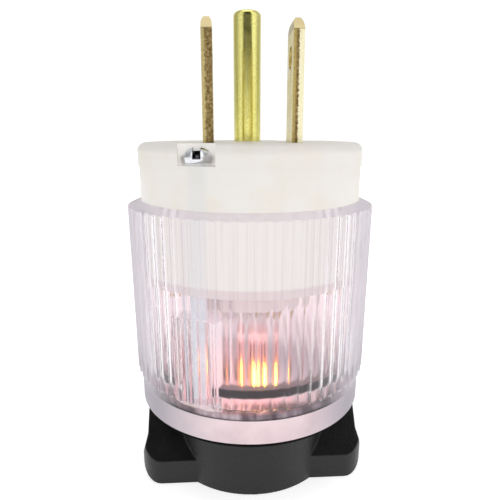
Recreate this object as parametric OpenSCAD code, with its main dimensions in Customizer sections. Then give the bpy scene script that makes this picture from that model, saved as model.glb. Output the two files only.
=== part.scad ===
// Lighted plug: a straight-blade grounding plug with a white face, a clear fluted housing
// that shows a glowing lamp inside, and a black two-part cord clamp below.
// Millimetres. +Z runs up the plug axis to the prongs, the visible screw is at the -Y front,
// and the plug stands on the flat bottom of its clamp at z = 0.

/* [Prongs] */
// Distance between the middles of the two flat blades
blade_gap = 12.7; // [12.2:0.1:13.2]
// Width of a blade
blade_w = 6.35; // [5.8:0.05:6.8]
// Thickness of a blade
blade_t = 1.52; // [1.3:0.02:1.7]
// Length of a blade in front of the face
blade_out = 16.9; // [15:0.1:19]
// Length of the bevelled blade tip
blade_bevel = 1.65; // [1.2:0.05:2]
// Length over which the blade tip rounds off on its thickness
blade_round = 1; // [0.8:0.1:1.2]
// Diameter of the hole through a blade
blade_hole_d = 3.2; // [2.6:0.1:3.6]
// Height of that hole above the face
blade_hole_up = 11.8; // [10:0.1:12.6]
// Diameter of the ground pin
pin_d = 4.5; // [4.2:0.05:4.9]
// Length of the ground pin in front of the face
pin_out = 20.5; // [18:0.1:22]
// Step from the pin out to its thicker shank in the face, on the radius
pin_step = 0.2; // [0.1:0.05:0.3]
// Rounding of the pin tip
pin_round = 0.8; // [0.5:0.1:1.5]
// Distance from the blade row to the ground pin
pin_back = 11.9; // [11.4:0.1:12.4]
// Distance of the blade row in front of the axis
row_front = 4; // [3:0.1:5]
// Height of the shoulder that holds a prong under the face cover
shoulder_h = 1.2; // [0.8:0.1:1.6]
// How far the shoulder stands out beyond the prong
shoulder_out = 1.2; // [0.8:0.1:1.6]

/* [Face and carrier] */
// Diameter of the face cover
cover_d = 34.6; // [34:0.1:36]
// Thickness of the face cover
cover_h = 3.4; // [3.2:0.1:4.4]
// Rounding of the face edge
cover_round = 1.3; // [0.5:0.1:1.8]
// Step from the cover in to the carrier, on the radius
cover_step = 0.2; // [0:0.05:0.4]
// How far the face stands out of the housing
face_out = 8.5; // [7.5:0.1:10]
// Depth of the carrier in the housing
seat_depth = 11.5; // [10:0.1:13]
// Diameter of the hub under the carrier
hub_d = 24.4; // [22:0.1:24.6]
// Height of the hub under the carrier
hub_h = 3.5; // [3:0.1:5]

/* [Terminals] */
// Height of a terminal screw above the hub bottom
terminal_up = 5; // [4.6:0.1:5.4]
// Height of the folded blade tail and of the pin block
tail_h = 8.5; // [8:0.1:9]
// Gap between the hub bottom and the tail
tail_up = 0.5; // [0.3:0.1:0.8]
// Width of the block at the foot of the ground pin
block_w = 6.4; // [6:0.1:7]
// Room for a bare wire behind a pressure plate
wire_room = 1.8; // [1.4:0.1:2.2]
// Side of a pressure plate
plate_w = 7.6; // [7:0.1:8]
// Thickness of a pressure plate
plate_t = 1.1; // [0.8:0.1:1.3]
// Diameter of a terminal screw
terminal_screw_d = 3.4; // [3:0.1:3.6]
// Head of a terminal screw
terminal_head_d = 6.2; // [5.6:0.1:6.8]
// Height of a terminal screw head
terminal_head_h = 2; // [1.6:0.1:2.2]

/* [Housing] */
// Wall between the carrier and the tips of the flutes, at the rim
shell_wall = 1.95; // [1.8:0.05:2.3]
// How far the flute tips draw in from the rim down to the band
shell_draft = 0.3; // [0.1:0.05:0.4]
// Number of flutes round the housing
flute_count = 60; // [48:4:64]
// Depth of a flute
flute_depth = 0.28; // [0.2:0.01:0.3]
// Radius of a flute
flute_r = 1.45; // [1.3:0.05:1.6]
// Height of the fluted wall
flute_h = 26.3; // [25:0.1:28]
// Rise of the rim from its outer to its inner edge
rim_rise = 0.9; // [0.5:0.1:1.4]
// Height of the smooth band under the flutes
band_h = 5.4; // [5:0.1:6]
// How far the band lies inside the flute tips
band_in = 0.65; // [0.5:0.05:0.8]
// Height of the thick foot ring inside the band
foot_h = 6.3; // [5.8:0.1:6.6]
// How far the foot ring stands in from the wall above it
foot_in = 1.6; // [1.4:0.1:1.8]
// Width of the ledge that carries the carrier
ledge_w = 1; // [0.8:0.05:1.2]
// Diameter of a screw boss inside the housing
boss_d = 6.6; // [6:0.1:6.8]
// Gap between a boss and the hub of the carrier
boss_gap = 0.3; // [0.2:0.1:0.6]
// Thickness of the black seal strips on the foot ring
seal_t = 1.3; // [1:0.1:1.6]
// Width of the seal strips
seal_w = 1.4; // [1.2:0.1:1.5]

/* [Assembly screws] */
// Angle of the front screw, measured from the front
screw_turn = 32; // [28:1:36]
// Distance of a screw in from the carrier wall
screw_in = 2.5; // [2.4:0.1:2.8]
// Diameter of a screw shank
screw_d = 2.9; // [2.6:0.1:3.1]
// Diameter of a screw head
screw_head_d = 4.5; // [4.3:0.1:5]
// Height of a screw head
screw_head_h = 2.35; // [2:0.05:2.5]
// Depth of a head below the face
screw_sink = 0.4; // [0.2:0.1:0.6]
// Length of a screw under its head
screw_l = 33; // [31:0.5:33.5]

/* [Cord clamp] */
// Height of the clamp below the housing
clamp_h = 11.9; // [11:0.1:13]
// Thickness of the collar against the housing
collar_t = 1.2; // [1:0.1:1.6]
// How far the collar lies inside the band
collar_in = 1; // [0.6:0.1:1.4]
// Diameter of the round barrel
barrel_d = 27.8; // [27:0.1:29]
// Width over the ears at the foot
ear_w = 35.6; // [35:0.1:36.4]
// How far an ear draws in above the foot
ear_draw = 0.9; // [0.4:0.1:1.2]
// Depth of the ears from front to back
ear_depth = 21.2; // [20.4:0.1:22]
// Depth of the ears at their top
ear_top_depth = 9; // [8:0.1:10]
// Height of the upright front of an ear
ear_foot_h = 4; // [3.6:0.1:4.6]
// Rounding of the upright ear corners
ear_corner = 3.2; // [2:0.1:4]
// Rounding of the ears at the bottom
ear_round = 3; // [2:0.1:3.4]
// Diameter of the cord passage
cord_d = 11; // [9:0.1:12]
// Gap between the two clamp halves
jaw_gap = 0.8; // [0.4:0.1:1.4]
// Gap between the jaw and the collar
jaw_drop = 0.2; // [0.1:0.05:0.3]
// Height of the spigot that plugs the housing
spigot_h = 3; // [2:0.1:4]
// Rim of the spigot round the pale insulating disc
spigot_wall = 0.9; // [0.7:0.1:1.4]
// Thickness of the insulating disc
disc_t = 0.5; // [0.4:0.05:0.55]
// Depth of the seat of the disc in the spigot
disc_sink = 0.6; // [0.55:0.05:0.8]
// Distance of a clamp screw from the axis
clamp_screw_x = 13.2; // [12.6:0.1:13.4]
// Height of the clamp screws
clamp_screw_z = 5.2; // [4.8:0.1:5.6]
// Diameter of a clamp screw
clamp_screw_d = 3.4; // [3:0.1:3.6]
// Diameter of a clamp screw head
clamp_head_d = 6.2; // [5.6:0.1:6.4]
// Height of a clamp screw head
clamp_head_h = 2.2; // [1.8:0.1:2.4]
// Depth of the ear under a clamp screw head
clamp_grip = 6.2; // [5.6:0.1:6.6]
// Depth of a clamp screw in the jaw
clamp_bite = 6.9; // [6.4:0.1:7.1]
// Free depth of the tapped holes beyond the clamp screws
clamp_spare = 0.3; // [0.2:0.1:0.8]

/* [Lamp] */
// Diameter of the lamp glass
lamp_d = 5; // [4.4:0.1:5.6]
// Height of the lamp glass
lamp_h = 11; // [9:0.1:12]
// Wall of the lamp glass
lamp_wall = 0.5; // [0.4:0.05:0.6]
// Height of the solid seal at the lamp top
seal_h = 1.6; // [1.2:0.1:2]
// Distance of the lamp to the right of the axis
lamp_x = 0.3; // [-1:0.1:2]
// Distance of the lamp in front of the axis
lamp_front = 10.4; // [9.6:0.1:10.8]
// Drop from the hub to the lamp top
lamp_drop = 3; // [2.6:0.1:3.4]
// Diameter of a glowing electrode
electrode_d = 0.8; // [0.6:0.05:1]
// Distance between the electrodes
electrode_gap = 1.8; // [1.5:0.1:2]
// Gap between the electrodes and the lamp bottom
electrode_up = 0.9; // [0.6:0.1:1.4]
// Diameter of a lead wire
lead_d = 0.5; // [0.4:0.05:0.6]
// Drop from the hub to the lead wires
lead_drop = 1.4; // [1.3:0.1:1.8]
// Diameter of the resistor
resistor_d = 1.8; // [1.6:0.1:2]
// Length of the resistor
resistor_l = 3.6; // [3:0.1:4]

/* [Fits] */
// Clearance of prongs and screws in plain holes, on the radius
hole_fit = 0.1; // [0.05:0.05:0.15]
// Clearance of a screw in its tapped hole, on the radius
thread_fit = 0.05; // [0.03:0.01:0.08]
// Clearance of the carrier in the housing, on the radius
seat_fit = 0.1; // [0.05:0.05:0.2]
// Clearance of the spigot and the seal strips in the housing, on the radius
spigot_fit = 0.15; // [0.1:0.05:0.25]
// Clearance round the screw heads in their pockets, on the radius
head_fit = 0.2; // [0.1:0.05:0.4]

/* [Hidden] */
$fn = 72;
eps = 0.01;
reach = 60;

// Heights, from the clamp bottom up
z_collar = clamp_h - collar_t;
z_shell = clamp_h;
z_flute = z_shell + band_h;
z_rim = z_flute + flute_h;
z_rim_in = z_rim + rim_rise;
z_face = z_rim_in + face_out;
z_cover = z_face - cover_h;
z_seat = z_rim_in - seat_depth;
z_hub = z_seat - hub_h;
z_tail = z_hub + tail_up;
z_terminal = z_hub + terminal_up;
z_chamber = max(z_tail + tail_h, z_terminal + plate_w / 2) + hole_fit;
z_disc = z_shell + spigot_h - disc_sink;
z_boss = z_hub - boss_gap;
z_boss_foot = z_shell + spigot_h + spigot_fit;
z_foot = z_shell + foot_h;
z_head = z_face - screw_sink - screw_head_h;
z_screw_tip = z_head - screw_l;
z_lamp_top = z_hub - lamp_drop;
z_lamp = z_lamp_top - lamp_h;
z_lead = z_hub - lead_drop;

// Radii and places
cover_r = cover_d / 2;
carrier_r = cover_r - cover_step;
hub_r = hub_d / 2;
bore_r = carrier_r + seat_fit;
shell_r = bore_r + shell_wall;
inner_r = bore_r - ledge_w;
foot_r = inner_r - foot_in;
flute_foot_r = shell_r - shell_draft;
band_r = flute_foot_r - band_in;
collar_r = band_r - collar_in;
spigot_r = foot_r - spigot_fit;
screw_r = carrier_r - screw_in;
blade_x = blade_gap / 2;
shank_d = pin_d + 2 * pin_step;
pin_y = pin_back - row_front;
tail_x = blade_x + blade_t * 1.5;
plate_x = tail_x + wire_room;
plate_y = pin_y + shank_d / 2 + wire_room;
screw_angles = [270 - screw_turn, 90 - screw_turn];

// A bar between two points
module bar(from, to, d) {
  run = to - from;
  long = norm(run);
  translate(from)
    rotate([0, acos(run[2] / long), atan2(run[1], run[0])])
      cylinder(d = d, h = long);
}

// A wire bent through a row of points
module wire(points, d) {
  for (i = [0 : len(points) - 2]) {
    bar(points[i], points[i + 1], d);
  }
  for (i = [1 : 1 : len(points) - 2]) {
    translate(points[i]) sphere(d = d * 1.1);
  }
}

// A round screw head with a flatter crown, a slot right across it and a shorter cross arm, on z = 0
module domed_head(d, h) {
  crown = d * 0.6;
  slot = d * 0.22;
  difference() {
    intersection() {
      translate([0, 0, h * 0.4]) sphere(d = d);
      translate([0, 0, h - crown]) sphere(r = crown);
      cylinder(d = d * 2, h = h * 2);
    }
    translate([-d, -slot / 2, h * 0.4]) cube([d * 2, slot, h]);
    translate([-slot / 2, -d * 0.36, h * 0.4]) cube([slot, d * 0.72, h]);
  }
}

// A flat terminal screw with a slotted head: the head stands on z = 0, the shank hangs below
module terminal_screw(shank) {
  difference() {
    cylinder(d = terminal_head_d, h = terminal_head_h);
    translate([-terminal_head_d, -0.5, terminal_head_h * 0.5])
      cube([terminal_head_d * 2, 1, terminal_head_h]);
  }
  translate([0, 0, -shank]) cylinder(d = terminal_screw_d, h = shank);
}

// A square pressure plate with a hole for its screw, standing on z = 0
module pressure_plate() {
  difference() {
    translate([-plate_w / 2, -plate_w / 2, 0]) cube([plate_w, plate_w, plate_t]);
    translate([0, 0, -1]) cylinder(d = terminal_screw_d + 2 * hole_fit, h = plate_t + 2);
  }
}

// Outline of a flat blade seen on its wide side
module blade_outline() {
  tip = z_face + blade_out;
  half = blade_w / 2;
  polygon([
    [-half, z_tail], [half, z_tail],
    [half, z_cover - shoulder_h], [half + shoulder_out, z_cover - shoulder_h],
    [half + shoulder_out, z_cover], [half, z_cover],
    [half, tip - blade_bevel], [half - blade_bevel, tip],
    [blade_bevel - half, tip], [-half, tip - blade_bevel],
    [-half, z_cover], [-half - shoulder_out, z_cover],
    [-half - shoulder_out, z_cover - shoulder_h], [-half, z_cover - shoulder_h]
  ]);
}

// Outline of a flat blade seen on its edge, with the folded tail on the outer side
module blade_section() {
  tip = z_face + blade_out;
  half = blade_t / 2;
  polygon([
    [-half, z_tail], [half + blade_t, z_tail], [half + blade_t, z_tail + tail_h],
    [half, z_tail + tail_h], [half, tip - blade_round],
    [half * 0.88, tip - blade_round * 0.5], [half * 0.5, tip],
    [-half * 0.5, tip], [-half * 0.88, tip - blade_round * 0.5], [-half, tip - blade_round]
  ]);
}

// One blade, at the right-hand place
module blade() {
  translate([blade_x, -row_front, 0])
    difference() {
      intersection() {
        rotate([90, 0, 90])
          translate([0, 0, -reach / 2]) linear_extrude(reach) blade_outline();
        rotate([90, 0, 0])
          translate([0, 0, -reach / 2]) linear_extrude(reach) blade_section();
      }
      translate([-reach / 2, 0, z_face + blade_hole_up])
        rotate([0, 90, 0]) cylinder(d = blade_hole_d, h = reach);
      translate([-reach / 2, 0, z_terminal])
        rotate([0, 90, 0]) cylinder(d = terminal_screw_d + 2 * thread_fit, h = reach);
    }
}

// Room for one blade, its folded tail and its terminal, at the right-hand place
module blade_room() {
  wide = blade_w + 2 * hole_fit;
  thick = blade_t + 2 * hole_fit;
  room = plate_w + 2 * hole_fit;
  translate([blade_x, -row_front, 0]) {
    translate([-thick / 2, -wide / 2, z_hub - 1]) cube([thick, wide, reach]);
    translate([-thick / 2, -wide / 2 - shoulder_out, z_cover - shoulder_h])
      cube([thick, wide + 2 * shoulder_out, shoulder_h + eps]);
    translate([0, -room / 2, z_hub - 1]) cube([reach, room, z_chamber - z_hub + 1]);
  }
}

// Room for the ground pin, its block and its terminal
module pin_room() {
  room = plate_w + 2 * hole_fit;
  deep = shank_d + 2 * hole_fit;
  translate([0, pin_y, 0]) {
    translate([0, 0, z_hub]) cylinder(d = deep, h = reach);
    translate([0, 0, z_cover - shoulder_h])
      cylinder(d = deep + 2 * shoulder_out, h = shoulder_h + eps);
    translate([-block_w / 2 - hole_fit, -deep / 2, z_hub - 1])
      cube([block_w + 2 * hole_fit, deep, z_chamber - z_hub + 1]);
    translate([-room / 2, 0, z_hub - 1]) cube([room, reach, z_chamber - z_hub + 1]);
  }
}

// Room for the two assembly screws
module screw_room(fit) {
  for (turn = screw_angles) {
    rotate([0, 0, turn])
      translate([screw_r, 0, z_screw_tip - 1]) cylinder(d = screw_d + 2 * fit, h = reach);
  }
}

// White cover over the prong shoulders, with one head pocket open to the front and one to the back
module face_cover() {
  pocket = screw_head_d / 2 + head_fit;
  color("#efebe6")
    difference() {
      translate([0, 0, z_cover])
        rotate_extrude() {
          square([cover_r - cover_round, cover_h]);
          square([cover_r, cover_h - cover_round]);
          translate([cover_r - cover_round, cover_h - cover_round])
            intersection() {
              circle(r = cover_round);
              square(cover_round);
            }
        }
      for (side = [0, 1]) {
        mirror([side, 0, 0])
          translate([blade_x - blade_t / 2 - hole_fit, -row_front - blade_w / 2 - hole_fit, 0])
            cube([blade_t + 2 * hole_fit, blade_w + 2 * hole_fit, reach * 2]);
      }
      translate([0, pin_y, 0]) cylinder(d = shank_d + 2 * hole_fit, h = reach * 2);
      screw_room(hole_fit);
      for (turn = screw_angles) {
        rotate([0, 0, turn])
          translate([screw_r, 0, z_head]) {
            cylinder(r = pocket, h = reach);
            rotate([0, 0, screw_turn])
              translate([0, -pocket, 0]) cube([reach, 2 * pocket, reach]);
          }
      }
    }
}

// White carrier that holds the prongs and makes the three wiring chambers
module terminal_carrier() {
  color("#eae5e1")
    difference() {
      union() {
        translate([0, 0, z_seat]) cylinder(r = carrier_r, h = z_cover - z_seat);
        translate([0, 0, z_hub]) cylinder(r = hub_r, h = hub_h + eps);
      }
      blade_room();
      mirror([1, 0, 0]) blade_room();
      pin_room();
      screw_room(hole_fit);
    }
}

module line_blade() {
  color("#c9a45a") blade();
}

module neutral_blade() {
  color("#c9a45a") mirror([1, 0, 0]) blade();
}

// Round ground pin with a shoulder and a square block at its foot
module ground_pin() {
  color("#cfae4f")
    translate([0, pin_y, 0])
      difference() {
        union() {
          rotate_extrude() {
            translate([0, z_face - eps]) square([pin_d / 2, pin_out - pin_round + eps]);
            translate([0, z_face - eps]) square([pin_d / 2 - pin_round, pin_out + eps]);
            translate([pin_d / 2 - pin_round, z_face + pin_out - pin_round])
              intersection() {
                circle(r = pin_round);
                square(pin_round);
              }
            translate([0, z_tail]) square([shank_d / 2, z_face - z_tail]);
            translate([0, z_cover - shoulder_h]) square([shank_d / 2 + shoulder_out, shoulder_h]);
          }
          translate([-block_w / 2, -shank_d / 2, z_tail]) cube([block_w, shank_d, tail_h]);
        }
        translate([0, 0, z_terminal])
          rotate([90, 0, 0])
            cylinder(d = terminal_screw_d + 2 * thread_fit, h = reach, center = true);
      }
}

// Moves a terminal screw or plate drawn on z = 0 to the right-hand blade, at distance x
module at_blade(x) {
  translate([x, -row_front, z_terminal]) rotate([0, 90, 0]) children();
}

// Moves a terminal screw or plate drawn on z = 0 to the ground pin, at distance y
module at_pin(y) {
  translate([0, y, z_terminal]) rotate([-90, 0, 0]) children();
}

module line_terminal_screw() {
  color("#b98f3c")
    at_blade(plate_x + plate_t) terminal_screw(plate_t + wire_room + 2 * blade_t);
}

module neutral_terminal_screw() {
  color("#c4c6c8")
    mirror([1, 0, 0])
      at_blade(plate_x + plate_t) terminal_screw(plate_t + wire_room + 2 * blade_t);
}

module ground_terminal_screw() {
  color("#3f7a4a")
    at_pin(plate_y + plate_t) terminal_screw(plate_t + wire_room + shank_d);
}

module line_pressure_plate() {
  color("#bd9a55") at_blade(plate_x) pressure_plate();
}

module neutral_pressure_plate() {
  color("#bd9a55") mirror([1, 0, 0]) at_blade(plate_x) pressure_plate();
}

module ground_pressure_plate() {
  color("#bd9a55") at_pin(plate_y) pressure_plate();
}

// Two long screws that draw the face, the carrier and the housing together
module assembly_screws() {
  color("#b9bcc0")
    for (turn = screw_angles) {
      rotate([0, 0, turn])
        translate([screw_r, 0, z_head]) {
          rotate([0, 0, screw_turn]) domed_head(screw_head_d, screw_head_h);
          translate([0, 0, -screw_l]) cylinder(d = screw_d, h = screw_l);
        }
    }
}

// Ring of round bars that cut every second flute, leaning out with the wall
module flute_bars(first) {
  step = 360 / flute_count;
  lean = atan(shell_draft / flute_h);
  for (i = [first : 2 : flute_count - 1]) {
    rotate([0, 0, (i + 0.5) * step])
      translate([flute_foot_r - flute_depth + flute_r, 0, z_flute])
        rotate([0, lean, 0])
          translate([0, 0, -1]) cylinder(r = flute_r, h = flute_h + rim_rise + 3);
  }
}

// Round body of the housing before it is fluted: wall, sloping rim, lower band and foot ring
module housing_body() {
  rotate_extrude()
    polygon([
      [foot_r, z_shell], [band_r, z_shell], [band_r, z_flute],
      [flute_foot_r, z_flute], [shell_r, z_rim], [bore_r, z_rim_in],
      [bore_r, z_seat], [inner_r, z_seat], [inner_r, z_foot], [foot_r, z_foot]
    ]);
}

// Clear housing with its flutes and two screw bosses
module housing_shell() {
  color([0.86, 0.84, 0.92, 0.35])
    difference() {
      union() {
        difference() {
          difference() {
            housing_body();
            flute_bars(0);
          }
          flute_bars(1);
        }
        for (turn = screw_angles) {
          rotate([0, 0, turn])
            translate([screw_r, 0, z_boss_foot])
              cylinder(d = boss_d, h = z_boss - z_boss_foot);
        }
      }
      screw_room(thread_fit);
    }
}

// Two black seal strips that lie on the foot ring between the bosses
module seal_strips() {
  color("#1c1b1c")
    translate([0, 0, z_foot])
      difference() {
        cylinder(r = inner_r - spigot_fit, h = seal_t);
        translate([0, 0, -1]) cylinder(r = inner_r - spigot_fit - seal_w, h = seal_t + 2);
        for (turn = screw_angles) {
          rotate([0, 0, turn])
            translate([screw_r, 0, -1]) cylinder(d = boss_d + 2 * spigot_fit, h = seal_t + 2);
        }
      }
}

// Pale insulating disc in the top of the spigot, with the cord passage through it
module insulating_disc() {
  color("#b9aeb6")
    translate([0, 0, z_disc])
      difference() {
        cylinder(r = spigot_r - spigot_wall - spigot_fit, h = disc_t);
        translate([0, 0, -1]) cylinder(d = cord_d, h = disc_t + 2);
      }
}

// Flat form with four rounded corners
module rounded_plate(w, d, r) {
  square([w - 2 * r, d], center = true);
  square([w, d - 2 * r], center = true);
  for (x = [-1, 1]) {
    for (y = [-1, 1]) {
      translate([x * (w / 2 - r), y * (d / 2 - r)]) circle(r = r);
    }
  }
}

// Ears seen from the side, sloping in above an upright foot
module ear_side() {
  polygon([
    [-ear_depth / 2, 0], [ear_depth / 2, 0], [ear_depth / 2, ear_foot_h],
    [ear_top_depth / 2, clamp_h], [-ear_top_depth / 2, clamp_h], [-ear_depth / 2, ear_foot_h]
  ]);
}

// Ears seen from the front, rounded at the bottom and drawn in above the foot
module ear_front() {
  half = ear_w / 2;
  neck = half - ear_draw;
  polygon([
    [-half, ear_round], [half, ear_round], [half, ear_foot_h],
    [neck, ear_foot_h * 1.8], [neck, clamp_h], [-neck, clamp_h],
    [-neck, ear_foot_h * 1.8], [-half, ear_foot_h]
  ]);
  translate([ear_round - half, 0]) square([ear_w - 2 * ear_round, ear_round]);
  for (x = [-1, 1]) {
    translate([x * (half - ear_round), ear_round]) circle(r = ear_round);
  }
}

// Outer form of the two clamp halves together
module clamp_form() {
  cylinder(d = barrel_d, h = z_collar);
  intersection() {
    rotate([90, 0, 90]) translate([0, 0, -reach / 2]) linear_extrude(reach) ear_side();
    rotate([90, 0, 0]) translate([0, 0, -reach / 2]) linear_extrude(reach) ear_front();
    linear_extrude(clamp_h) rounded_plate(ear_w, ear_depth, ear_corner);
  }
}

// Room for the two clamp screws, from back to front
module clamp_screw_room(fit, back, front) {
  for (x = [-clamp_screw_x, clamp_screw_x]) {
    translate([x, back, clamp_screw_z])
      rotate([90, 0, 0]) cylinder(d = clamp_screw_d + 2 * fit, h = back - front);
  }
}

// Black end piece: collar, spigot that plugs the housing and the rear half of the cord clamp
module clamp_base() {
  seat = jaw_gap / 2 + clamp_grip;
  color("#2b2a2b")
    difference() {
      union() {
        intersection() {
          clamp_form();
          translate([-reach / 2, jaw_gap / 2, 0]) cube([reach, reach, clamp_h]);
        }
        translate([0, 0, z_collar]) cylinder(r = collar_r, h = collar_t);
        translate([0, 0, z_collar]) cylinder(r = spigot_r, h = collar_t + spigot_h);
      }
      translate([0, 0, z_disc]) cylinder(r = spigot_r - spigot_wall, h = reach);
      translate([0, 0, -1]) cylinder(d = cord_d, h = reach);
      clamp_screw_room(hole_fit, reach, 0);
      for (x = [-clamp_screw_x, clamp_screw_x]) {
        translate([x, reach, clamp_screw_z])
          rotate([90, 0, 0]) cylinder(d = clamp_head_d + 2 * head_fit, h = reach - seat);
      }
    }
}

// Black front half of the cord clamp
module clamp_jaw() {
  color("#2d2c2d")
    difference() {
      intersection() {
        clamp_form();
        translate([-reach / 2, -reach - jaw_gap / 2, 0])
          cube([reach, reach, z_collar - jaw_drop]);
      }
      translate([0, 0, -1]) cylinder(d = cord_d, h = reach);
      clamp_screw_room(thread_fit, 0, -jaw_gap / 2 - clamp_bite - clamp_spare);
    }
}

// Two screws that close the cord clamp from behind
module clamp_screws() {
  long = clamp_grip + jaw_gap + clamp_bite;
  color("#b9bcc0")
    for (x = [-clamp_screw_x, clamp_screw_x]) {
      translate([x, jaw_gap / 2 + clamp_grip, clamp_screw_z])
        rotate([-90, 0, 0]) {
          domed_head(clamp_head_d, clamp_head_h);
          translate([0, 0, -long]) cylinder(d = clamp_screw_d, h = long);
        }
    }
}

// Lamp glass: a thin tube with a rounded bottom and a solid seal on top
module lamp_glass() {
  color([1, 0.82, 0.78, 0.35])
    translate([lamp_x, -lamp_front, z_lamp])
      difference() {
        union() {
          translate([0, 0, lamp_d / 2]) cylinder(d = lamp_d, h = lamp_h - lamp_d / 2);
          translate([0, 0, lamp_d / 2]) sphere(d = lamp_d);
        }
        translate([0, 0, lamp_d / 2])
          cylinder(d = lamp_d - 2 * lamp_wall, h = lamp_h - lamp_d / 2 - seal_h);
        translate([0, 0, lamp_d / 2]) sphere(d = lamp_d - 2 * lamp_wall);
        for (x = [-1, 1]) {
          translate([x * electrode_gap / 2, 0, lamp_h / 2])
            cylinder(d = lead_d + 2 * thread_fit, h = lamp_h);
        }
      }
}

// Glowing electrode rod, at one side of the lamp
module electrode_rod(side) {
  low = z_lamp + lamp_wall + electrode_up;
  translate([lamp_x + side * electrode_gap / 2, -lamp_front, low])
    cylinder(d = electrode_d, h = z_lamp_top - seal_h - low);
}

// Point where a lead leaves the lamp seal
function lead_start(side) =
  [lamp_x + side * electrode_gap / 2, -lamp_front, z_lamp_top - seal_h];

// Point above it where the lead turns
function lead_turn(side) = [lamp_x + side * electrode_gap / 2, -lamp_front, z_lead];

// Point under the blade tail where the lead turns up again
function lead_foot(side) = [side * blade_x, -row_front, z_lead];

// Point on the blade tail where the lead ends
function lead_end(side) = [side * blade_x, -row_front, z_tail];

// Points on the line lead at the two ends of the resistor
function resistor_end(along) =
  let (from = lead_turn(1), run = lead_foot(1) - lead_turn(1))
    from + run * (0.5 + along * resistor_l / 2 / norm(run));

// Left-hand electrode with its lead to the neutral blade
module neutral_electrode() {
  color("#c9987a") {
    electrode_rod(-1);
    wire([lead_start(-1), lead_turn(-1), lead_foot(-1), lead_end(-1)], lead_d);
  }
}

// Right-hand electrode with its lead to the resistor
module line_electrode() {
  color("#c9987a") {
    electrode_rod(1);
    wire([lead_start(1), lead_turn(1), resistor_end(-1)], lead_d);
  }
}

// Resistor in the line lead, with its wire to the line blade
module lamp_resistor() {
  color("#c8b48c") {
    bar(resistor_end(-1), resistor_end(1), resistor_d);
    wire([resistor_end(1), lead_foot(1), lead_end(1)], lead_d);
  }
}

face_cover();
terminal_carrier();
line_blade();
neutral_blade();
ground_pin();
line_terminal_screw();
neutral_terminal_screw();
ground_terminal_screw();
line_pressure_plate();
neutral_pressure_plate();
ground_pressure_plate();
assembly_screws();
housing_shell();
seal_strips();
insulating_disc();
clamp_base();
clamp_jaw();
clamp_screws();
lamp_glass();
line_electrode();
neutral_electrode();
lamp_resistor();
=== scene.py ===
"""Looks of the lighted plug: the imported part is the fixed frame, and each piece gets its finish.

Metres. The plug stands on the floor at z = 0, its prongs point up, and the front is -Y.
"""
import math

import bmesh
import bpy
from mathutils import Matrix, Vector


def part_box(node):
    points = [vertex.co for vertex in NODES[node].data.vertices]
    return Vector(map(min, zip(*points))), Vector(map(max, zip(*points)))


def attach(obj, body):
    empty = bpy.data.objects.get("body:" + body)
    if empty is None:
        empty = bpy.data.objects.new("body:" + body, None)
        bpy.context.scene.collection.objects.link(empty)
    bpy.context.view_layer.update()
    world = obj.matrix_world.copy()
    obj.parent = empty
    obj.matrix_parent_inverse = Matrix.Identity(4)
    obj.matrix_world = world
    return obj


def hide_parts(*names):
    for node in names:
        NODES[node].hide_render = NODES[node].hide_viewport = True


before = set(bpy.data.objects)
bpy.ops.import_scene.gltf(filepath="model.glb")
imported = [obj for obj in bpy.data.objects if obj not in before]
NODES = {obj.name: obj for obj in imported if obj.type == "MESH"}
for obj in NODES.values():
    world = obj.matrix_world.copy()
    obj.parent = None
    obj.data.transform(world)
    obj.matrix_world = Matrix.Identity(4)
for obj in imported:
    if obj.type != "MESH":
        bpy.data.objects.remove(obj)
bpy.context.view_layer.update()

MM = 0.001

# Heights and radii that the frame gives
SHELL_LOW, SHELL_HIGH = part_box("housing_shell")
CARRIER_LOW, CARRIER_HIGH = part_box("terminal_carrier")
COVER_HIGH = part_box("face_cover")[1]
STRIP_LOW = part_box("seal_strips")[0]
DISC_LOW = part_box("insulating_disc")[0]
LAMP_LOW, LAMP_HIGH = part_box("lamp_glass")
LAMP_MIDDLE = (LAMP_LOW + LAMP_HIGH) / 2
SCREW_LOW, SCREW_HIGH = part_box("assembly_screws")
BLADE_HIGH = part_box("line_blade")[1]
RIM_R = SHELL_HIGH.x
CARRIER_R = CARRIER_HIGH.x

# Clear housing
FLUTES = 60
COLUMNS = 12            # columns of faces in each flute
FLUTE_DEPTH = 0.28 * MM
FLUTE_R = 1.45 * MM
FLUTE_H = 26.3 * MM
DRAFT = 0.3 * MM        # the flute tips draw in towards the foot
RIM_RISE = 0.9 * MM     # the rim slopes up to the bore
BAND_H = 5.4 * MM
BAND_IN = 0.65 * MM
FROST_H = 3.6 * MM      # frosted part of the band
BORE_FIT = 0.1 * MM
LEDGE_W = 1.0 * MM      # ledge that the carrier sits on
FOOT_IN = 1.6 * MM
SEAT_UP = 3.5 * MM      # from the carrier's hub bottom to its seat
BOSS_R = 3.3 * MM
BOSS_GAP = 0.3 * MM     # between a boss and the hub
BOSS_UP = 3.15 * MM     # from the housing foot to a boss
HOLE_R = 1.5 * MM
HOLE_PAST = 1.0 * MM    # a hole runs on below its screw
ROUND_SIDES = 56        # sides of a boss or a hole
SCREW_IN = 2.5 * MM     # from the carrier's edge to a long screw
SCREW_TURN = 32         # degrees from the front

# Section of the housing, worked out from those sizes
FLUTE_LOW = SHELL_LOW.z + BAND_H
RIM_Z = FLUTE_LOW + FLUTE_H
SEAT_Z = CARRIER_LOW.z + SEAT_UP
BORE_R = CARRIER_R + BORE_FIT
INNER_R = BORE_R - LEDGE_W
FOOT_R = INNER_R - FOOT_IN
FLUTE_FOOT_R = RIM_R - DRAFT
BAND_R = FLUTE_FOOT_R - BAND_IN
FLUTE_STEP = 360 / FLUTES
NEAR = 0.01 * MM        # a point this close to a place lies on it
BAND_SKIN = 0.2 * MM    # faces this close to the band's radius are its outside

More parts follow.
